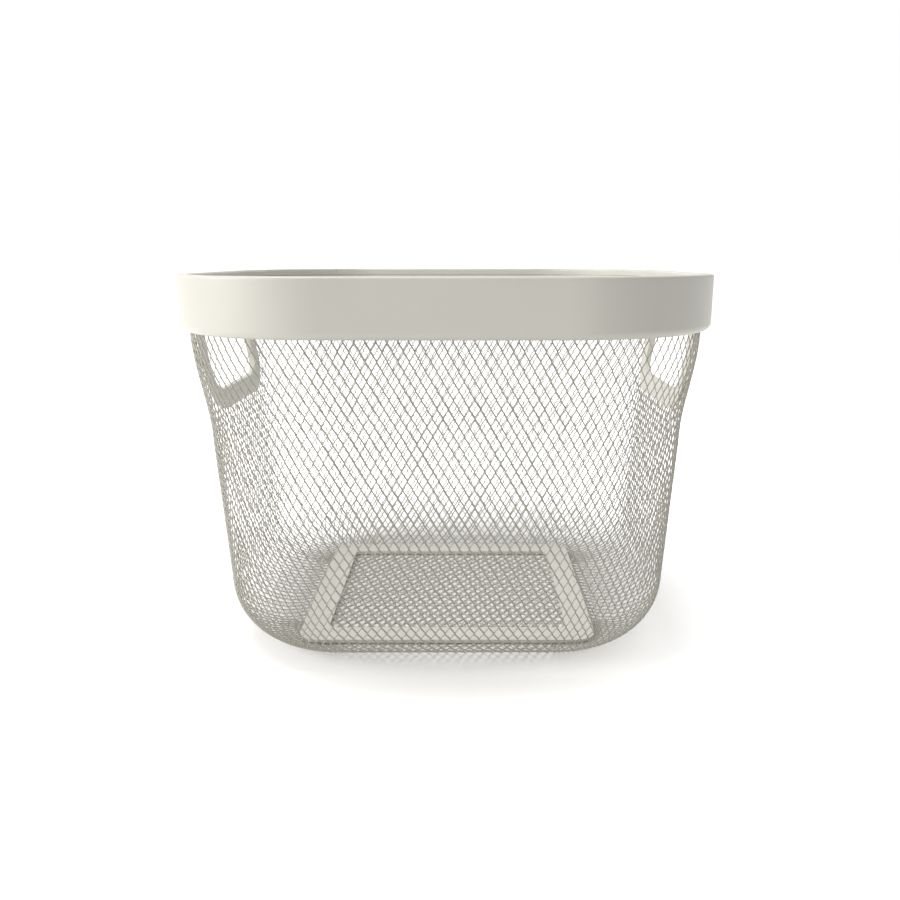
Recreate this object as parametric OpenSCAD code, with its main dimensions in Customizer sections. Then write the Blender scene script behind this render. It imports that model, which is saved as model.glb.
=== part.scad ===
// Locker basket of expanded steel mesh: a painted sheet-steel rim band round the top,
// a drawn mesh body with a wide rounded bottom, a pressed steel frame on the floor
// and a strip-framed hand hole under the rim in each end wall.
// Origin: centre of the footprint, on the surface the basket stands on. X is the long way.

/* [Rim] */
// Outside width of the rim, end to end
rim_w = 330; // [280:1:420]
// Outside depth of the rim, front to back
rim_d = 305; // [270:1:400]
// Outside corner radius of the rim, seen from above
rim_corner_r = 98; // [85:1:120]
// Height of the whole basket
basket_h = 238; // [200:1:300]
// Height of the outer rim band
band_h = 33; // [24:1:45]
// Thickness of the rim's sheet steel
rim_sheet = 1; // [0.8:0.1:1.2]
// Thickness of the rim from its outer face to its inner face
rim_thick = 8; // [7.6:0.1:10]
// Radius of the fold along the rim's top edges
top_fold_r = 1.6; // [1.2:0.1:2]
// Radius of the rolled lower edge of the outer band
lower_roll_r = 4.4; // [2:0.1:4.6]
// Depth of the hem that the outer band turns down inside the rim
inner_hem_h = 5; // [3:0.5:8]
// Diameter of the hoop wire inside the rim
hoop_wire_d = 4; // [3:0.1:4.1]

/* [Mesh body] */
// Thickness of the expanded mesh
mesh_t = 1.2; // [0.8:0.1:1.5]
// Space left on each side of the mesh where the rim holds it
mesh_gap = 0.2; // [0.1:0.05:0.3]
// How far the flared shoulder below the rim draws the wall in
shoulder_in = 9; // [4:0.5:12]
// Height of that shoulder below the rim band
shoulder_h = 71; // [40:1:90]
// How far the straight wall is drawn in again on its way to the bottom
taper_in = 6; // [3:0.5:12]
// Radius between the wall and the floor
bottom_r = 42; // [25:1:48]

/* [Hand holes] */
// Length of each hand hole's clear opening, front to back
hand_hole_w = 100; // [80:1:105]
// Depth of the clear opening below the rim band
hand_hole_h = 44; // [30:1:60]
// Radius of the opening's lower corners
hand_hole_r = 14; // [8:1:20]
// Width of the steel strip round the opening
hand_strip_w = 13; // [8:0.5:16]
// Thickness of that strip
hand_strip_t = 1.2; // [0.8:0.1:1.5]
// Width of the hem that the strip turns over outside the wall
hand_hem_w = 3.5; // [2:0.5:5]

/* [Floor frame] */
// Flat floor left between the pressed frame and the bend of each end wall
frame_end_gap = 3.9; // [3:0.1:12]
// Flat floor left between the frame and the bend of each long wall
frame_side_gap = 0.9; // [0.5:0.1:12]
// Width of the frame's flat band
frame_band = 18; // [12:0.5:24]
// Outside corner radius of the frame
frame_corner_r = 13; // [8:1:20]
// Radius of the corners of the frame's opening
frame_inner_r = 5; // [3:0.5:8]
// Height of the frame's flat top above the ground
frame_rise = 3.5; // [3:0.5:6]
// Thickness of the frame's sheet
frame_sheet = 1.2; // [0.8:0.1:1.5]

/* [Floor mesh] */
// Width of one diamond in the floor mesh
floor_cell_w = 10.5; // [10:0.5:20]
// Length of one diamond in the floor mesh
floor_cell_l = 17; // [16:0.5:30]
// Width of one strand of the floor mesh
floor_strand = 2; // [1.4:0.1:3]
// How far the floor mesh reaches under the frame's band
floor_lap = 8; // [4:0.5:10]

/* [Hidden] */
$fn = 96;
// Extra length of a cutting shape, so that it passes right through
over = 1;
// Distance of the corner arcs' centres from the middle of the basket
corner_x = rim_w / 2 - rim_corner_r;
corner_y = rim_d / 2 - rim_corner_r;
band_bottom = basket_h - band_h;
// Insets are measured inwards from the rim's outer face
inner_band_in = rim_thick - rim_sheet;
mesh_top_in = inner_band_in - mesh_gap - mesh_t;
mesh_top_z = basket_h - rim_sheet - mesh_gap;
wire_in = (rim_sheet + mesh_top_in) / 2;
wire_z = basket_h - rim_sheet - mesh_gap - hoop_wire_d / 2;
inner_band_top = basket_h - inner_hem_h - mesh_gap;
// Wall profile, outer face of the mesh
shoulder_end_in = mesh_top_in + shoulder_in;
wall_end_in = shoulder_end_in + taper_in;
shoulder_steps = 10;
bend_steps = 12;
quarter_turn = 90;
// Flat part of the floor, inside the bends
floor_in = wall_end_in + bottom_r;
flat_w = rim_w - 2 * floor_in;
flat_d = rim_d - 2 * floor_in;
frame_w = flat_w - 2 * frame_end_gap;
frame_d = flat_d - 2 * frame_side_gap;
// The floor panel lies inside the opening that the wall's lower edge leaves
floor_w = frame_w - 2 * frame_band + 2 * floor_lap;
floor_d = frame_d - 2 * frame_band + 2 * floor_lap;
floor_r = frame_inner_r + floor_lap;
// Solid border kept round the net's gaps
floor_border = floor_lap / 2;

// A point of the wall's outer face on its flared shoulder: u runs from 0 at the rim to 1,
// and the wall leaves the rim upright and bends gently in, then out of the bend again
function shoulder_point(u) =
    [mesh_top_in + shoulder_in * (1 - cos(2 * quarter_turn * u)) / 2,
     band_bottom - shoulder_h * u];

// A point of the rounded bottom: a is the angle below the horizontal
function bend_point(a, r) =
    [floor_in - r * cos(a), bottom_r - r * sin(a)];

// The rounded bottom from the wall to the floor, at one radius
function bend_face(r) =
    [for (i = [0 : bend_steps]) bend_point(quarter_turn * i / bend_steps, r)];

// Outer face of the wall from the rim down to the floor, as [inset, height]
function wall_face(off) = concat(
    [[mesh_top_in + off, mesh_top_z]],
    [for (i = [0 : shoulder_steps])
        shoulder_point(i / shoulder_steps) + [off, 0]],
    bend_face(bottom_r - off));

function reversed(list) = [for (i = [len(list) - 1 : -1 : 0]) list[i]];

// Plan outline of a rounded rectangle
module plan(w, d, r) {
    square([w - 2 * r, d], center = true);
    square([w, d - 2 * r], center = true);
    for (sx = [-1, 1])
        for (sy = [-1, 1])
            translate([sx * (w / 2 - r), sy * (d / 2 - r)])
                circle(r = r);
}

// Sweeps a cross section, given as [inset, height], once round the basket
module around() {
    for (turn = [0 : 3]) {
        sx = (turn == 0 || turn == 3) ? 1 : -1;
        sy = (turn < 2) ? 1 : -1;
        half = (turn % 2 == 0) ? corner_y : corner_x;
        translate([sx * corner_x, sy * corner_y, 0])
            rotate([0, 0, quarter_turn * turn])
                rotate_extrude(angle = quarter_turn)
                    outward()
                        children();
        rotate([0, 0, quarter_turn * turn])
            translate([(turn % 2 == 0) ? corner_x : corner_y, half, 0])
                rotate([quarter_turn, 0, 0])
                    linear_extrude(height = 2 * half)
                        outward()
                            children();
    }
}

// Turns an inset into a distance from the corner arc's centre
module outward() {
    translate([rim_corner_r, 0])
        mirror([1, 0])
            children();
}

// Quarter of a sheet fold, in the section's own axes
module fold(r, t, side) {
    intersection() {
        difference() {
            circle(r = r);
            circle(r = r - t);
        }
        translate([side[0] * r / 2, side[1] * r / 2])
            square(r, center = true);
    }
}

// Section of the outer band: face, rolled lower edge, folded top and inner hem
module outer_band_section() {
    face_bottom = band_bottom + lower_roll_r;
    face_top = basket_h - top_fold_r;
    translate([0, face_bottom])
        square([rim_sheet, face_top - face_bottom]);
    translate([lower_roll_r, face_bottom])
        fold(lower_roll_r, rim_sheet, [-1, -1]);
    translate([lower_roll_r, band_bottom])
        square([mesh_top_in - mesh_gap - lower_roll_r, rim_sheet]);
    translate([top_fold_r, face_top])
        fold(top_fold_r, rim_sheet, [-1, 1]);
    translate([top_fold_r, basket_h - rim_sheet])
        square([rim_thick - 2 * top_fold_r, rim_sheet]);
    translate([rim_thick - top_fold_r, face_top])
        fold(top_fold_r, rim_sheet, [1, 1]);
    translate([inner_band_in, basket_h - inner_hem_h])
        square([rim_sheet, inner_hem_h - top_fold_r]);
}

// Painted sheet-steel band that is seen all round the top
module rim_outer_band() {
    color("gainsboro")
        around()
            outer_band_section();
}

// Liner strip that holds the mesh from inside
module rim_inner_band() {
    color("silver")
        around()
            translate([inner_band_in, band_bottom])
                square([rim_sheet, inner_band_top - band_bottom]);
}

// Steel hoop that stiffens the rim, hidden in the top fold
module rim_hoop_wire() {
    color("dimgray")
        around()
            translate([wire_in, wire_z])
                circle(d = hoop_wire_d, $fn = 32);
}

// Prism along X with the shape of a hand hole, grown by a margin
module hand_hole_prism(side, grow) {
    w = hand_hole_w + 2 * grow;
    h = hand_hole_h + grow;
    r = hand_hole_r + grow;
    far = rim_w / 2 + over;
    near = corner_x;
    translate([side * (far + near) / 2, 0, band_bottom - h])
        rotate([quarter_turn, 0, quarter_turn])
            linear_extrude(height = far - near, center = true) {
                translate([-w / 2, r])
                    square([w, h - r + over]);
                translate([-w / 2 + r, 0])
                    square([w - 2 * r, h + over]);
                for (s = [-1, 1])
                    translate([s * (w / 2 - r), r])
                        circle(r = r);
            }
}

// Drawn mesh body: flared shoulder, tapered wall, rounded bottom and the floor's edge
module wall_mesh() {
    color("whitesmoke")
        difference() {
            union() {
                around()
                    polygon(concat(wall_face(0), reversed(wall_face(mesh_t))));
                difference() {
                    linear_extrude(height = mesh_t)
                        plan(flat_w, flat_d, rim_corner_r - floor_in);
                    translate([0, 0, -over])
                        linear_extrude(height = mesh_t + 2 * over)
                            plan(floor_w, floor_d, floor_r);
                }
            }
            for (side = [-1, 1])
                hand_hole_prism(side, hand_strip_t);
        }
}

// One diamond gap of the floor mesh
function diamond(x, y, w, l) =
    [[x - w / 2, y], [x, y - l / 2], [x + w / 2, y], [x, y + l / 2]];

// Flat net inside the floor frame
module floor_mesh() {
    gap_w = floor_cell_w - floor_strand;
    gap_l = floor_cell_l - floor_strand * floor_cell_l / floor_cell_w;
    clear_w = floor_w / 2 - floor_border - gap_w / 2;
    clear_d = floor_d / 2 - floor_border - gap_l / 2;
    cols = floor(clear_w / (floor_cell_w / 2));
    rows = floor(clear_d / (floor_cell_l / 2));
    gaps = [for (i = [-cols : cols]) for (j = [-rows : rows])
        if ((i + j) % 2 == 0)
            diamond(i * floor_cell_w / 2, j * floor_cell_l / 2, gap_w, gap_l)];
    color("whitesmoke")
        linear_extrude(height = mesh_t)
            difference() {
                plan(floor_w, floor_d, floor_r);
                polygon(points = [for (g = gaps) for (p = g) p],
                        paths = [for (k = [0 : len(gaps) - 1])
                            [for (m = [0 : 3]) 4 * k + m]]);
            }
}

// Pressed frame: flat band with its outer and inner edges turned down to the mesh,
// and its corners shaped to the mesh where the bottom begins to rise
module base_frame() {
    inner_w = frame_w - 2 * frame_band;
    inner_d = frame_d - 2 * frame_band;
    color("gainsboro")
        difference() {
            translate([0, 0, mesh_t])
                linear_extrude(height = frame_rise - mesh_t)
                    plan(frame_w, frame_d, frame_corner_r);
            translate([0, 0, mesh_t - over])
                linear_extrude(height = frame_rise - mesh_t - frame_sheet + over)
                    difference() {
                        plan(frame_w - 2 * frame_sheet, frame_d - 2 * frame_sheet,
                             frame_corner_r - frame_sheet);
                        plan(inner_w + 2 * frame_sheet, inner_d + 2 * frame_sheet,
                             frame_inner_r + frame_sheet);
                    }
            linear_extrude(height = frame_rise + over)
                plan(inner_w, inner_d, frame_inner_r);
            around()
                polygon(concat(bend_face(bottom_r - mesh_t),
                        [[floor_in, -over], [wall_end_in, -over]]));
        }
}

// Strip round a hand hole: inner plate, edge through the mesh and outer hem
module hand_frame(side) {
    plate_in = mesh_t + mesh_gap;
    color("gainsboro")
        difference() {
            union() {
                intersection() {
                    around()
                        polygon(concat(wall_face(plate_in),
                                reversed(wall_face(plate_in + hand_strip_t))));
                    hand_hole_prism(side, hand_strip_w);
                }
                intersection() {
                    around()
                        polygon(concat(wall_face(-mesh_gap - hand_strip_t),
                                reversed(wall_face(plate_in + hand_strip_t))));
                    hand_hole_prism(side, hand_strip_t - mesh_gap);
                }
                intersection() {
                    around()
                        polygon(concat(wall_face(-mesh_gap - hand_strip_t),
                                reversed(wall_face(-mesh_gap))));
                    hand_hole_prism(side, hand_hem_w);
                }
            }
            hand_hole_prism(side, 0);
            translate([0, 0, band_bottom - mesh_gap])
                linear_extrude(height = band_h + mesh_gap + over)
                    square([rim_w + 2 * over, rim_d + 2 * over], center = true);
        }
}

// Frame of the hand hole in the left end wall
module hand_frame_left() {
    hand_frame(-1);
}

// Frame of the hand hole in the right end wall
module hand_frame_right() {
    hand_frame(1);
}

rim_outer_band();
rim_inner_band();
rim_hoop_wire();
wall_mesh();
floor_mesh();
base_frame();
hand_frame_left();
hand_frame_right();
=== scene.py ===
import math

import bpy
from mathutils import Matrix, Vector


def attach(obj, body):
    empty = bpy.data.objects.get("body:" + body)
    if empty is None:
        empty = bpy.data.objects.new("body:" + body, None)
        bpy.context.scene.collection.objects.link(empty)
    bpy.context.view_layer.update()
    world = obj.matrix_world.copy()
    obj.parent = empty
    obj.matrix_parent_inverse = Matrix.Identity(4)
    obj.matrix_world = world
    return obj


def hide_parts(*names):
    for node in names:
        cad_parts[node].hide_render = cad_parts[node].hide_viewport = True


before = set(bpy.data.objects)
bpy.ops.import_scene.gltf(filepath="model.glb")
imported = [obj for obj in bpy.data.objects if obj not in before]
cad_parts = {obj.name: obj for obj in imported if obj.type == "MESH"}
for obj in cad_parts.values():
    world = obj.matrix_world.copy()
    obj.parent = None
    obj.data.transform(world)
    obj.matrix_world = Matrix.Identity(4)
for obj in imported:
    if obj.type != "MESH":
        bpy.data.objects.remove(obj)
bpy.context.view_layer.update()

# ---------------------------------------------------------------------------
# Camera: a little above the rim and close, so that the near wall is larger
# than the far one. The shift only places the basket in the square picture.
# ---------------------------------------------------------------------------
PICTURE = 900
camera_data = bpy.data.cameras.new("basket_camera")
camera_data.sensor_width = 36.0
camera_data.lens = 792.8 / PICTURE * camera_data.sensor_width
camera_data.shift_x = (PICTURE / 2 - 466.8) / PICTURE
camera_data.shift_y = (439.8 - PICTURE / 2) / PICTURE
camera = bpy.data.objects.new("basket_camera", camera_data)
camera.location = (0.0131, -0.5658, 0.2477)
camera.rotation_euler = (math.radians(90 - 12.97), 0, 0)
bpy.context.scene.collection.objects.link(camera)
bpy.context.scene.camera = camera

# ---------------------------------------------------------------------------
# Studio: a pale floor that keeps the basket's shadow, an even pale surround
# and soft lamps, the strongest one on the left.
# ---------------------------------------------------------------------------
scene = bpy.context.scene
scene.view_settings.view_transform = "Standard"

SURROUND_LIGHT = 0.35
FLOOR_HALF = 30.0
NEAR_GLOW, FAR_GLOW = 0.05, 1.0
GLOW_STARTS, GLOW_ENDS = 0.12, 0.27


def camera_or_mirror_rays(tree):
    """1 for what the camera, a reflection or glass sees, and 0 for light that lands."""
    path = tree.nodes.new("ShaderNodeLightPath")
    either = tree.nodes.new("ShaderNodeMath")
    either.operation = "MAXIMUM"
    tree.links.new(path.outputs["Is Camera Ray"], either.inputs[0])
    tree.links.new(path.outputs["Is Glossy Ray"], either.inputs[1])
    every = tree.nodes.new("ShaderNodeMath")
    every.operation = "MAXIMUM"
    tree.links.new(either.outputs[0], every.inputs[0])
    tree.links.new(path.outputs["Is Transmission Ray"], every.inputs[1])
    return every.outputs[0]


world = bpy.data.worlds.new("studio")
scene.world = world
world.use_nodes = True
tree = world.node_tree
tree.nodes.clear()
landing = tree.nodes.new("ShaderNodeBackground")
landing.inputs["Color"].default_value = (1.0, 0.995, 0.985, 1)
landing.inputs["Strength"].default_value = SURROUND_LIGHT
seen = tree.nodes.new("ShaderNodeBackground")
seen.inputs["Color"].default_value = (1, 1, 1, 1)
seen.inputs["Strength"].default_value = 1.0
mix = tree.nodes.new("ShaderNodeMixShader")
out = tree.nodes.new("ShaderNodeOutputWorld")
tree.links.new(camera_or_mirror_rays(tree), mix.inputs[0])
tree.links.new(landing.outputs[0], mix.inputs[1])
tree.links.new(seen.outputs[0], mix.inputs[2])
tree.links.new(mix.outputs[0], out.inputs[0])

floor_mesh = bpy.data.meshes.new("studio_floor")
floor_mesh.from_pydata(
    [(-FLOOR_HALF, -FLOOR_HALF, 0), (FLOOR_HALF, -FLOOR_HALF, 0),
     (FLOOR_HALF, FLOOR_HALF, 0), (-FLOOR_HALF, FLOOR_HALF, 0)], [], [(0, 1, 2, 3)])
studio_floor = bpy.data.objects.new("studio_floor", floor_mesh)
scene.collection.objects.link(studio_floor)

floor_paint = bpy.data.materials.new("studio_floor_paint")
floor_paint.use_nodes = True
tree = floor_paint.node_tree
tree.nodes.clear()
matte = tree.nodes.new("ShaderNodeBsdfDiffuse")
matte.inputs["Color"].default_value = (0.86, 0.855, 0.845, 1)
glow = tree.nodes.new("ShaderNodeEmission")
glow.inputs["Color"].default_value = (1, 1, 1, 1)
where = tree.nodes.new("ShaderNodeTexCoord")
distance = tree.nodes.new("ShaderNodeVectorMath")
distance.operation = "LENGTH"
tree.links.new(where.outputs["Object"], distance.inputs[0])
ramp = tree.nodes.new("ShaderNodeMapRange")
ramp.inputs["From Min"].default_value = GLOW_STARTS
ramp.inputs["From Max"].default_value = GLOW_ENDS
ramp.inputs["To Min"].default_value = NEAR_GLOW
ramp.inputs["To Max"].default_value = FAR_GLOW
tree.links.new(distance.outputs["Value"], ramp.inputs["Value"])
strength = tree.nodes.new("ShaderNodeMath")
strength.operation = "MULTIPLY"
tree.links.new(camera_or_mirror_rays(tree), strength.inputs[0])
tree.links.new(ramp.outputs["Result"], strength.inputs[1])
tree.links.new(strength.outputs[0], glow.inputs["Strength"])
add = tree.nodes.new("ShaderNodeAddShader")
tree.links.new(matte.outputs[0], add.inputs[0])
tree.links.new(glow.outputs[0], add.inputs[1])
out = tree.nodes.new("ShaderNodeOutputMaterial")
tree.links.new(add.outputs[0], out.inputs["Surface"])
floor_mesh.materials.append(floor_paint)


def soft_lamp(name, place, aim, size, power, tint):
    """A square soft box that looks from place towards aim."""
    data = bpy.data.lights.new(name, "AREA")
    data.shape = "SQUARE"
    data.size = size
    data.energy = power
    data.color = tint
    lamp = bpy.data.objects.new(name, data)
    lamp.location = place
    towards = Vector(aim) - Vector(place)
    lamp.rotation_euler = towards.to_track_quat("-Z", "Y").to_euler()
    scene.collection.objects.link(lamp)


soft_lamp("left_box", (-1.5, -0.55, 0.75), (0, 0, 0.12), 0.9, 16.8, (1.0, 0.99, 0.965))
soft_lamp("top_box", (-0.45, 0.2, 1.7), (0, 0, 0.1), 1.2, 16, (1.0, 1.0, 1.0))
soft_lamp("front_box", (0.62, -2.07, 0.10), (0.07, -0.15, 0.22), 0.25, 1.9, (1.0, 1.0, 1.0))

# ---------------------------------------------------------------------------
# Enamel: every piece is sprayed in one warm pale grey satin coat and baked. The mesh's colour below
# is that coat painted darker, as painted shade on its thin strands.
# Fine orange peel and a slow change of shade show close up.
# ---------------------------------------------------------------------------
ENAMEL = (0.70, 0.69, 0.625, 1)
# The mesh has the same enamel as the rim; this darker colour is painted shade for its thin strands.
MESH_PAINT_WITH_PAINTED_SHADE = (0.48, 0.465, 0.41, 1)


def enamel_coat_group():
    """Colour, roughness and height of sprayed satin enamel, from Object coordinates."""
    group = bpy.data.node_groups.new("sprayed_enamel", "ShaderNodeTree")
    face = group.interface
    face.new_socket("Paint", in_out="INPUT", socket_type="NodeSocketColor")
    for name in ("Shade change", "Patch size", "Peel size", "Gloss change", "Base roughness"):
        face.new_socket(name, in_out="INPUT", socket_type="NodeSocketFloat")
    face.new_socket("Color", in_out="OUTPUT", socket_type="NodeSocketColor")
    face.new_socket("Roughness", in_out="OUTPUT", socket_type="NodeSocketFloat")
    face.new_socket("Height", in_out="OUTPUT", socket_type="NodeSocketFloat")
    nodes, links = group.nodes, group.links
    given = nodes.new("NodeGroupInput")
    result = nodes.new("NodeGroupOutput")
    where = nodes.new("ShaderNodeTexCoord")
    patches = nodes.new("ShaderNodeTexNoise")
    patches.inputs["Detail"].default_value = 3
    links.new(where.outputs["Object"], patches.inputs["Vector"])
    links.new(given.outputs["Patch size"], patches.inputs["Scale"])
    peel = nodes.new("ShaderNodeTexNoise")
    peel.inputs["Detail"].default_value = 2
    links.new(where.outputs["Object"], peel.inputs["Vector"])
    links.new(given.outputs["Peel size"], peel.inputs["Scale"])
    level = nodes.new("ShaderNodeMath")
    level.operation = "SUBTRACT"
    level.inputs[1].default_value = 0.5
    links.new(patches.outputs["Fac"], level.inputs[0])
    change = nodes.new("ShaderNodeMath")
    change.operation = "MULTIPLY_ADD"
    change.inputs[2].default_value = 1.0
    links.new(level.outputs[0], change.inputs[0])
    links.new(given.outputs["Shade change"], change.inputs[1])
    shade = nodes.new("ShaderNodeHueSaturation")
    links.new(given.outputs["Paint"], shade.inputs["Color"])
    links.new(change.outputs[0], shade.inputs["Value"])
    links.new(shade.outputs["Color"], result.inputs["Color"])
    gloss = nodes.new("ShaderNodeMath")
    gloss.operation = "MULTIPLY_ADD"
    links.new(level.outputs[0], gloss.inputs[0])
    links.new(given.outputs["Gloss change"], gloss.inputs[1])
    links.new(given.outputs["Base roughness"], gloss.inputs[2])
    links.new(gloss.outputs[0], result.inputs["Roughness"])
    links.new(peel.outputs["Fac"], result.inputs["Height"])
    return group


def enamel(name, paint, shade_change, patch_size, peel_size, peel_depth, roughness):
    """A sprayed enamel finish: the group gives what varies, the shader's sockets the rest."""
    material = bpy.data.materials.new(name)
    material.use_nodes = True
    nodes, links = material.node_tree.nodes, material.node_tree.links
    shader = nodes["Principled BSDF"]
    coat = nodes.new("ShaderNodeGroup")
    coat.node_tree = sprayed_enamel
    coat.inputs["Paint"].default_value = paint
    coat.inputs["Shade change"].default_value = shade_change
    coat.inputs["Patch size"].default_value = patch_size
    coat.inputs["Peel size"].default_value = peel_size
    coat.inputs["Gloss change"].default_value = 0.12
    coat.inputs["Base roughness"].default_value = roughness
    links.new(coat.outputs["Color"], shader.inputs["Base Color"])
    links.new(coat.outputs["Roughness"], shader.inputs["Roughness"])
    bump = nodes.new("ShaderNodeBump")
    bump.inputs["Strength"].default_value = 0.35
    bump.inputs["Distance"].default_value = peel_depth
    links.new(coat.outputs["Height"], bump.inputs["Height"])
    links.new(bump.outputs["Normal"], shader.inputs["Normal"])
    shader.inputs["IOR"].default_value = 1.5
    return material


sprayed_enamel = enamel_coat_group()
rim_enamel = enamel("rim_enamel", ENAMEL, 0.10, 14, 900, 0.00006, 0.38)

# ---------------------------------------------------------------------------
# Rim: an outer band of sheet steel folded over a hoop wire, and a liner strip
# inside it. The two clamp the mesh's top edge, and are enamelled with it.
# ---------------------------------------------------------------------------


def finish_node(name, material):
    """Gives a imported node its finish."""
    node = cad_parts[name]
    node.data.materials.clear()
    node.data.materials.append(material)


finish_node("rim_outer_band", rim_enamel)
finish_node("rim_inner_band", rim_enamel)

hoop_steel = bpy.data.materials.new("hoop_steel")
hoop_steel.use_nodes = True
nodes, links = hoop_steel.node_tree.nodes, hoop_steel.node_tree.links
shader = nodes["Principled BSDF"]
shader.inputs["Metallic"].default_value = 1.0
where = nodes.new("ShaderNodeTexCoord")
draw = nodes.new("ShaderNodeTexNoise")
draw.inputs["Scale"].default_value = 220
links.new(where.outputs["Object"], draw.inputs["Vector"])
tone = nodes.new("ShaderNodeValToRGB")
tone.color_ramp.elements[0].color = (0.30, 0.30, 0.30, 1)
tone.color_ramp.elements[1].color = (0.52, 0.52, 0.51, 1)
links.new(draw.outputs["Fac"], tone.inputs["Fac"])
links.new(tone.outputs["Color"], shader.inputs["Base Color"])
shader.inputs["Roughness"].default_value = 0.42
finish_node("rim_hoop_wire", hoop_steel)

# ---------------------------------------------------------------------------
# Floor frame: a pressed steel rectangle that lies on the mesh floor and holds
# the floor panel down, with rounded corners and a hollow section.
# ---------------------------------------------------------------------------
frame_enamel = enamel("frame_enamel", ENAMEL, 0.08, 22, 900, 0.00006, 0.42)
finish_node("base_frame", frame_enamel)

# ---------------------------------------------------------------------------
# Hand hole frames: a flat steel strip round each hole, turned over the mesh's
# cut edge and enamelled with the rest.
# ---------------------------------------------------------------------------
finish_node("hand_frame_left", frame_enamel)
finish_node("hand_frame_right", frame_enamel)

# ---------------------------------------------------------------------------
# Wall mesh: fine expanded steel drawn to a rounded tub. Its cells keep one
# count from the rim to the floor, so they close up round the corners. Each
# strand is a flat ribbon that stands tilted, and two of them meet in a joint.
# Drawing the tub stretched the strands round the ends a little thinner.
# ---------------------------------------------------------------------------
RIM_W, RIM_D, RIM_R = 0.330, 0.305, 0.098
ARC_X, ARC_Y = RIM_W / 2 - RIM_R, RIM_D / 2 - RIM_R
BAND_BOTTOM = 0.205
MESH_TOP = 0.2366
SHEET = 0.0012
TOP_IN, SHOULDER_IN, SHOULDER_H = 0.0056, 0.009, 0.071
WALL_END_IN, BOTTOM_R = 0.0206, 0.042
FLAT_RUN = 0.0095
HALF_ROW, TOP_ROW_STRETCH = 0.0052, 0.05
BOND = 0.0007
STRAIGHT_STRAND, END_STRAND = 0.00060, 0.00052
CELLS_LONG, CELLS_SIDE, CELLS_CORNER = 23, 19, 23


def wall_profile():
    """The mesh's middle surface from the rim to the floor, as fine [inset, height] steps."""
    mid = SHEET / 2
    line = [(TOP_IN + mid, MESH_TOP), (TOP_IN + mid, BAND_BOTTOM)]
    for k in range(1, 13):
        u = k / 12
        line.append((TOP_IN + mid + SHOULDER_IN * (1 - math.cos(math.pi * u)) / 2,
                     BAND_BOTTOM - SHOULDER_H * u))
    radius = BOTTOM_R - mid
    for k in range(0, 25):
        a = math.pi / 2 * k / 24
        line.append((WALL_END_IN + BOTTOM_R - radius * math.cos(a),
                     BOTTOM_R - radius * math.sin(a)))
    line.append((WALL_END_IN + BOTTOM_R + FLAT_RUN, mid))
    return line


def rows_down(line, step):
    """Points a step apart along a profile, each with the profile's outward normal."""
    lengths = [0.0]
    for a, b in zip(line, line[1:]):
        lengths.append(lengths[-1] + math.dist(a, b))
    count = round(lengths[-1] / step)
    rows, k = [], 0
    for i in range(count + 1):
        share = i / count
        at = lengths[-1] * share * (1 + TOP_ROW_STRETCH * (1 - share))
        while k < len(line) - 2 and lengths[k + 1] <= at:
            k += 1
        a, b = line[k], line[k + 1]
        span = lengths[k + 1] - lengths[k]
        t = (at - lengths[k]) / span
        inset = a[0] + (b[0] - a[0]) * t
        height = a[1] + (b[1] - a[1]) * t
        din, dh = (b[0] - a[0]) / span, (b[1] - a[1]) / span
        rows.append((inset, height, -dh, -din))
    return rows


def around(u):
    """Where column u stands: the arc centre or straight it belongs to, and its outward direction."""
    runs = [(CELLS_LONG, "front"), (CELLS_CORNER, "fr"), (CELLS_SIDE, "right"),
            (CELLS_CORNER, "br"), (CELLS_LONG, "back"), (CELLS_CORNER, "bl"),
            (CELLS_SIDE, "left"), (CELLS_CORNER, "fl")]
    total = sum(n for n, _ in runs)
    u = (u + CELLS_LONG / 2) % total
    for n, run in runs:
        if u <= n:
            break
        u -= n
    t = u / n
    if run == "front":
        return (-ARC_X + 2 * ARC_X * t, -ARC_Y), (0, -1)
    if run == "back":
        return (ARC_X - 2 * ARC_X * t, ARC_Y), (0, 1)
    if run == "right":
        return (ARC_X, -ARC_Y + 2 * ARC_Y * t), (1, 0)
    if run == "left":
        return (-ARC_X, ARC_Y - 2 * ARC_Y * t), (-1, 0)
    start = {"fr": -90, "br": 0, "bl": 90, "fl": 180}[run]
    a = math.radians(start + 90 * t)
    centre = {"fr": (ARC_X, -ARC_Y), "br": (ARC_X, ARC_Y),
              "bl": (-ARC_X, ARC_Y), "fl": (-ARC_X, -ARC_Y)}[run]
    return centre, (math.cos(a), math.sin(a))


HOLE_HALF, HOLE_LOW, HOLE_R, HOLE_EDGE = 0.050, 0.161, 0.014, 0.0009


def in_hand_hole(p):
    """Whether a point of the wall lies in a hand hole, out to the middle of its turned edge."""
    if abs(p.x) < ARC_X or p.z > BAND_BOTTOM + HOLE_EDGE:
        return False
    half, low = HOLE_HALF + HOLE_EDGE, HOLE_LOW - HOLE_EDGE
    if abs(p.y) > half or p.z < low:
        return False
    r = HOLE_R + HOLE_EDGE
    dy, dz = abs(p.y) - (half - r), (low + r) - p.z
    return not (dy > 0 and dz > 0 and math.hypot(dy, dz) > r)


def skeleton(name, points, outward, strands):
    """A mesh of joints and strands, with each joint's outward direction and each strand's turn."""
    mesh = bpy.data.meshes.new(name)
    mesh.from_pydata(points, [(a, b) for a, b, _ in strands], [])
    facing = mesh.attributes.new("outward", "FLOAT_VECTOR", "POINT")
    facing.data.foreach_set("vector", [c for n in outward for c in n])
    turn = mesh.attributes.new("turn", "FLOAT", "EDGE")
    turn.data.foreach_set("value", [float(s) for _, _, s in strands])
    guide = bpy.data.objects.new(name, mesh)
    scene.collection.objects.link(guide)
    return guide


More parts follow.
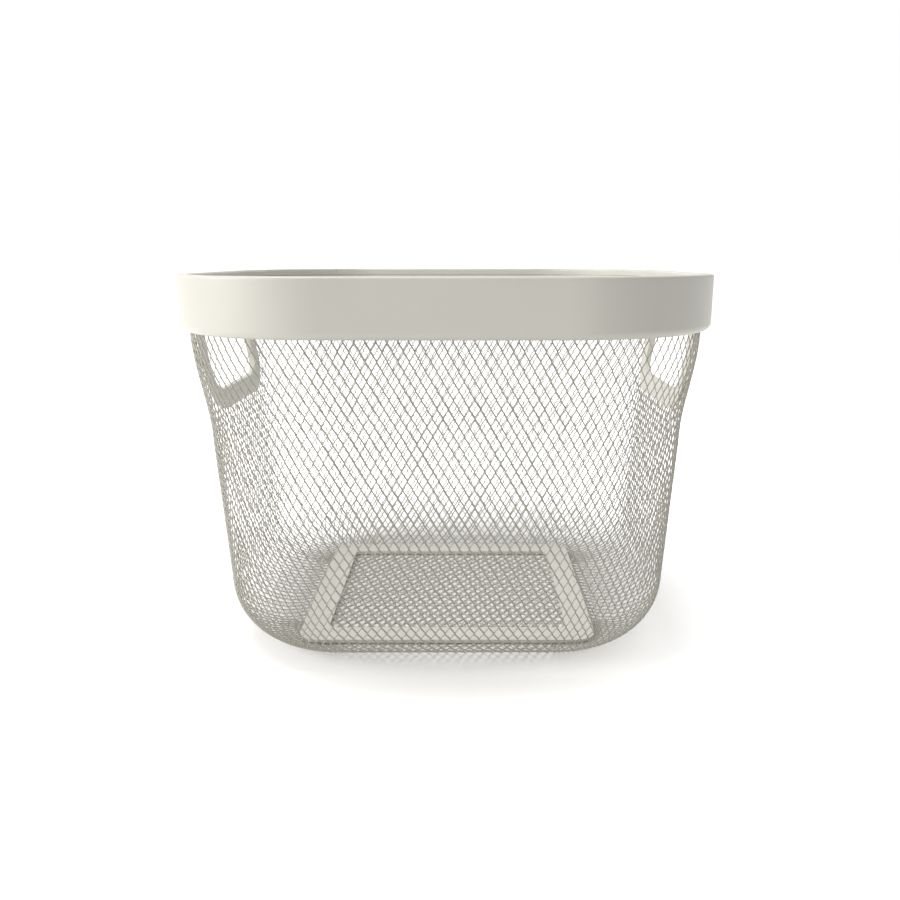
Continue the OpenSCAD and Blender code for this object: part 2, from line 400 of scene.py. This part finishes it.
def wall_skeletons():
    """The strands of the four sides of the wall, cut off at the hand holes."""
    rows = rows_down(wall_profile(), HALF_ROW)
    total = 2 * (CELLS_LONG + CELLS_SIDE) + 4 * CELLS_CORNER
    grid, normals, downs = [], [], []
    for i, (inset, height, out_in, out_up) in enumerate(rows):
        shift = 0.5 * (i % 2)
        line, facing, falling = [], [], []
        for j in range(total):
            centre, away = around(j + shift)
            reach = RIM_R - inset
            line.append(Vector((centre[0] + away[0] * reach,
                                centre[1] + away[1] * reach, height)))
            facing.append(Vector((away[0] * out_in, away[1] * out_in, out_up)))
            falling.append(Vector((away[0] * out_up, away[1] * out_up, -out_in)) * BOND / 2)
        grid.append(line)
        normals.append(facing)
        downs.append(falling)
    sides = {}

    def add(a, na, b, nb, turn):
        inside_a, inside_b = in_hand_hole(a), in_hand_hole(b)
        if inside_a and inside_b:
            return
        if inside_a or inside_b:
            keep, gone = (b, a) if inside_a else (a, b)
            low, high = 0.0, 1.0
            for _ in range(14):
                middle = (low + high) / 2
                if in_hand_hole(keep.lerp(gone, middle)):
                    high = middle
                else:
                    low = middle
            if low < 0.12:
                return
            cut = keep.lerp(gone, low)
            a, b = (cut, keep) if inside_a else (keep, cut)
        m = (a + b) / 2
        side = ("front" if m.y < 0 else "back") + ("_left" if m.x < 0 else "_right")
        if abs(m.x) < ARC_X:
            side = side.split("_")[0]
        points, outward, strands = sides.setdefault(side, ([], [], []))
        strands.append((len(points), len(points) + 1, turn))
        points.extend((a, b))
        outward.extend((na, nb))

    for i in range(len(rows) - 1):
        for j in range(total):
            right = j if i % 2 == 0 else (j + 1) % total
            left = (j - 1) % total if i % 2 == 0 else j
            a, na, fall = grid[i][j], normals[i][j], downs[i][j]
            for k, turn in ((right, -1), (left, 1)):
                b, nb = grid[i + 1][k], normals[i + 1][k]
                add(a + fall, na, b - downs[i + 1][k], nb, turn)
            if i > 0:
                add(a - fall, na, a + fall, na, 0)
    return {side: skeleton("wall_guide_" + side, *parts) for side, parts in sides.items()}


def strand_tree():
    """Turns every edge of a skeleton into a tilted ribbon that widens at its joints."""
    tree = bpy.data.node_groups.new("expanded_strands", "GeometryNodeTree")
    face = tree.interface
    face.new_socket("Geometry", in_out="INPUT", socket_type="NodeSocketGeometry")
    for name, value in (("Strand width", 0.00054), ("Strand thickness", 0.00026),
                        ("Joint growth", 1.5), ("Tilt", 0.8), ("Unevenness", 0.0001),
                        ("Heavy strand share", 0.16)):
        socket = face.new_socket(name, in_out="INPUT", socket_type="NodeSocketFloat")
        socket.default_value = value
    seed = face.new_socket("Seed", in_out="INPUT", socket_type="NodeSocketInt")
    seed.default_value = 7
    face.new_socket("Finish", in_out="INPUT", socket_type="NodeSocketMaterial")
    face.new_socket("Geometry", in_out="OUTPUT", socket_type="NodeSocketGeometry")
    nodes, links = tree.nodes, tree.links
    given = nodes.new("NodeGroupInput")
    result = nodes.new("NodeGroupOutput")

    def node(kind, **settings):
        made = nodes.new(kind)
        for key, value in settings.items():
            setattr(made, key, value)
        return made

    # joints sit a little unevenly, by a fixed seed and by where they are
    merge = node("GeometryNodeMergeByDistance")
    merge.inputs["Distance"].default_value = 0.00001
    links.new(given.outputs["Geometry"], merge.inputs["Geometry"])
    random = node("FunctionNodeRandomValue", data_type="FLOAT_VECTOR")
    random.inputs["Min"].default_value = (-1, -1, -1)
    random.inputs["Max"].default_value = (1, 1, 1)
    links.new(given.outputs["Seed"], random.inputs["Seed"])
    uneven = node("ShaderNodeVectorMath", operation="SCALE")
    links.new(random.outputs["Value"], uneven.inputs[0])
    links.new(given.outputs["Unevenness"], uneven.inputs["Scale"])
    moved = node("GeometryNodeSetPosition")
    links.new(merge.outputs["Geometry"], moved.inputs["Geometry"])
    links.new(uneven.outputs["Vector"], moved.inputs["Offset"])

    # each edge becomes a point that knows its direction, length and outward side
    ends = node("GeometryNodeInputMeshEdgeVertices")
    along = node("ShaderNodeVectorMath", operation="SUBTRACT")
    links.new(ends.outputs["Position 2"], along.inputs[0])
    links.new(ends.outputs["Position 1"], along.inputs[1])
    outward = node("GeometryNodeInputNamedAttribute", data_type="FLOAT_VECTOR")
    outward.inputs["Name"].default_value = "outward"
    keep_along = node("GeometryNodeStoreNamedAttribute", data_type="FLOAT_VECTOR", domain="EDGE")
    keep_along.inputs["Name"].default_value = "along"
    links.new(moved.outputs["Geometry"], keep_along.inputs["Geometry"])
    links.new(along.outputs["Vector"], keep_along.inputs["Value"])
    keep_out = node("GeometryNodeStoreNamedAttribute", data_type="FLOAT_VECTOR", domain="EDGE")
    keep_out.inputs["Name"].default_value = "edge_outward"
    links.new(keep_along.outputs["Geometry"], keep_out.inputs["Geometry"])
    links.new(outward.outputs["Attribute"], keep_out.inputs["Value"])
    points = node("GeometryNodeMeshToPoints", mode="EDGES")
    links.new(keep_out.outputs["Geometry"], points.inputs["Mesh"])

    # one ribbon, a unit long, of four stations: it grows over its last sixth at both joints
    line = node("GeometryNodeCurvePrimitiveLine")
    line.inputs["Start"].default_value = (-0.5, 0, 0)
    line.inputs["End"].default_value = (0.5, 0, 0)
    stations = node("GeometryNodeResampleCurve")
    stations.inputs["Count"].default_value = 4
    links.new(line.outputs["Curve"], stations.inputs["Curve"])
    how_far = node("GeometryNodeSplineParameter")
    from_middle = node("ShaderNodeMath", operation="SUBTRACT")
    from_middle.inputs[1].default_value = 0.5
    links.new(how_far.outputs["Factor"], from_middle.inputs[0])
    spread = node("ShaderNodeMath", operation="ABSOLUTE")
    links.new(from_middle.outputs[0], spread.inputs[0])
    outwards = node("ShaderNodeMapRange")
    outwards.inputs["From Min"].default_value = 1 / 6
    outwards.inputs["From Max"].default_value = 0.5
    outwards.inputs["To Min"].default_value = 2.0
    outwards.inputs["To Max"].default_value = 1.0
    links.new(spread.outputs[0], outwards.inputs["Value"])
    here = node("GeometryNodeInputPosition")
    pushed = node("ShaderNodeVectorMath", operation="SCALE")
    links.new(here.outputs["Position"], pushed.inputs[0])
    links.new(outwards.outputs["Result"], pushed.inputs["Scale"])
    spaced = node("GeometryNodeSetPosition")
    links.new(stations.outputs["Curve"], spaced.inputs["Geometry"])
    links.new(pushed.outputs["Vector"], spaced.inputs["Position"])
    widen = node("ShaderNodeMapRange")
    widen.inputs["From Min"].default_value = 1 / 6
    widen.inputs["From Max"].default_value = 0.5
    widen.inputs["To Min"].default_value = 1.0
    links.new(spread.outputs[0], widen.inputs["Value"])
    links.new(given.outputs["Joint growth"], widen.inputs["To Max"])
    section = node("GeometryNodeCurvePrimitiveQuadrilateral")
    links.new(given.outputs["Strand width"], section.inputs["Width"])
    links.new(given.outputs["Strand thickness"], section.inputs["Height"])
    ribbon = node("GeometryNodeCurveToMesh")
    ribbon.inputs["Fill Caps"].default_value = True
    links.new(spaced.outputs["Geometry"], ribbon.inputs["Curve"])
    links.new(section.outputs["Curve"], ribbon.inputs["Profile Curve"])
    links.new(widen.outputs["Result"], ribbon.inputs["Scale"])

    # place, turn and stretch the ribbon on every point
    read_along = node("GeometryNodeInputNamedAttribute", data_type="FLOAT_VECTOR")
    read_along.inputs["Name"].default_value = "along"
    read_out = node("GeometryNodeInputNamedAttribute", data_type="FLOAT_VECTOR")
    read_out.inputs["Name"].default_value = "edge_outward"
    read_turn = node("GeometryNodeInputNamedAttribute", data_type="FLOAT")
    read_turn.inputs["Name"].default_value = "turn"
    lie = node("FunctionNodeAlignRotationToVector", axis="X")
    links.new(read_along.outputs["Attribute"], lie.inputs["Vector"])
    stand = node("FunctionNodeAlignRotationToVector", axis="Z", pivot_axis="X")
    links.new(lie.outputs["Rotation"], stand.inputs["Rotation"])
    links.new(read_out.outputs["Attribute"], stand.inputs["Vector"])
    lean = node("ShaderNodeMath", operation="MULTIPLY")
    links.new(read_turn.outputs["Attribute"], lean.inputs[0])
    links.new(given.outputs["Tilt"], lean.inputs[1])
    twist = node("FunctionNodeAxisAngleToRotation")
    twist.inputs["Axis"].default_value = (1, 0, 0)
    links.new(lean.outputs[0], twist.inputs["Angle"])
    turned = node("FunctionNodeRotateRotation", rotation_space="LOCAL")
    links.new(stand.outputs["Rotation"], turned.inputs["Rotation"])
    links.new(twist.outputs["Rotation"], turned.inputs["Rotate By"])
    length = node("ShaderNodeVectorMath", operation="LENGTH")
    links.new(read_along.outputs["Attribute"], length.inputs[0])
    heavier = node("ShaderNodeMath", operation="MULTIPLY")
    links.new(read_turn.outputs["Attribute"], heavier.inputs[0])
    links.new(given.outputs["Heavy strand share"], heavier.inputs[1])
    breadth = node("ShaderNodeMath", operation="SUBTRACT")
    breadth.inputs[0].default_value = 1.0
    links.new(heavier.outputs[0], breadth.inputs[1])
    stretch = node("ShaderNodeCombineXYZ")
    stretch.inputs["Z"].default_value = 1
    links.new(length.outputs["Value"], stretch.inputs["X"])
    links.new(breadth.outputs[0], stretch.inputs["Y"])
    place = node("GeometryNodeInstanceOnPoints")
    links.new(points.outputs["Points"], place.inputs["Points"])
    links.new(ribbon.outputs["Mesh"], place.inputs["Instance"])
    links.new(turned.outputs["Rotation"], place.inputs["Rotation"])
    links.new(stretch.outputs["Vector"], place.inputs["Scale"])
    real = node("GeometryNodeRealizeInstances")
    links.new(place.outputs["Instances"], real.inputs["Geometry"])
    finish = node("GeometryNodeSetMaterial")
    links.new(real.outputs["Geometry"], finish.inputs["Geometry"])
    links.new(given.outputs["Finish"], finish.inputs["Material"])
    links.new(finish.outputs["Geometry"], result.inputs["Geometry"])
    return tree


def woven_from(guide, piece_name, tree, finish, **sizes):
    """Runs the strand tree on a skeleton and keeps the result as a plain mesh piece."""
    modifier = guide.modifiers.new("strands", "NODES")
    modifier.node_group = tree
    sockets = {s.name: s.identifier for s in tree.interface.items_tree
               if s.item_type == "SOCKET" and s.in_out == "INPUT"}
    modifier[sockets["Finish"]] = finish
    for name, value in sizes.items():
        modifier[sockets[name.replace("_", " ")]] = value
    graph = bpy.context.evaluated_depsgraph_get()
    mesh = bpy.data.meshes.new_from_object(guide.evaluated_get(graph))
    for extra in ("along", "edge_outward", "turn", "outward"):
        if extra in mesh.attributes:
            mesh.attributes.remove(mesh.attributes[extra])
    mesh.name = piece_name
    piece = bpy.data.objects.new(piece_name, mesh)
    scene.collection.objects.link(piece)
    old = guide.data
    bpy.data.objects.remove(guide)
    bpy.data.meshes.remove(old)
    return piece


# The mesh's finish takes the darker colour: painted shade on the strands, not a second paint.
mesh_enamel = enamel("mesh_enamel", MESH_PAINT_WITH_PAINTED_SHADE, 0.16, 30, 700, 0.00004, 0.40)
strands = strand_tree()
for side, guide in wall_skeletons().items():
    wall = woven_from(guide, "wall_mesh_" + side, strands, mesh_enamel,
                      Strand_width=STRAIGHT_STRAND if side in ("front", "back") else END_STRAND)
    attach(wall, "root")
    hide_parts("wall_mesh")

# ---------------------------------------------------------------------------
# Floor panel: a flat piece of the same expanded steel, opened a little wider,
# held down by the floor frame. Its strands lie nearly flat on the ground.
# ---------------------------------------------------------------------------
PANEL_W, PANEL_D, PANEL_R = 0.177, 0.158, 0.013
PANEL_CELL_W, PANEL_CELL_L = 0.0070, 0.0095
PANEL_EDGE = 0.0006


def in_panel(x, y):
    """Whether a point lies inside the panel's outline."""
    half_w, half_d = PANEL_W / 2 - PANEL_EDGE, PANEL_D / 2 - PANEL_EDGE
    if abs(x) > half_w or abs(y) > half_d:
        return False
    dx, dy = abs(x) - (half_w - PANEL_R), abs(y) - (half_d - PANEL_R)
    return not (dx > 0 and dy > 0 and math.hypot(dx, dy) > PANEL_R)


def panel_skeleton():
    """The floor panel's joints and strands."""
    columns = int(PANEL_W / PANEL_CELL_W) + 2
    rows = int(PANEL_D / PANEL_CELL_L) + 2
    points, index, edges = [], {}, []

    def joint(i, j):
        if (i, j) not in index:
            index[i, j] = len(points)
            points.append((i * PANEL_CELL_W / 2, j * PANEL_CELL_L / 2, SHEET / 2))
        return index[i, j]

    for i in range(-columns, columns + 1):
        for j in range(-rows, rows + 1):
            if (i + j) % 2:
                continue
            for step, turn in ((1, 1), (-1, -1)):
                a = (i * PANEL_CELL_W / 2, j * PANEL_CELL_L / 2)
                b = ((i + step) * PANEL_CELL_W / 2, (j + 1) * PANEL_CELL_L / 2)
                if in_panel(*a) and in_panel(*b):
                    edges.append((joint(i, j), joint(i + step, j + 1), turn))
    return skeleton("panel_guide", points, [(0, 0, 1)] * len(points), edges)


panel = woven_from(panel_skeleton(), "floor_mesh_panel", strands, mesh_enamel,
                   Strand_width=0.0008, Strand_thickness=0.0004, Tilt=0.35,
                   Unevenness=0.00005)
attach(panel, "root")
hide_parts("floor_mesh")
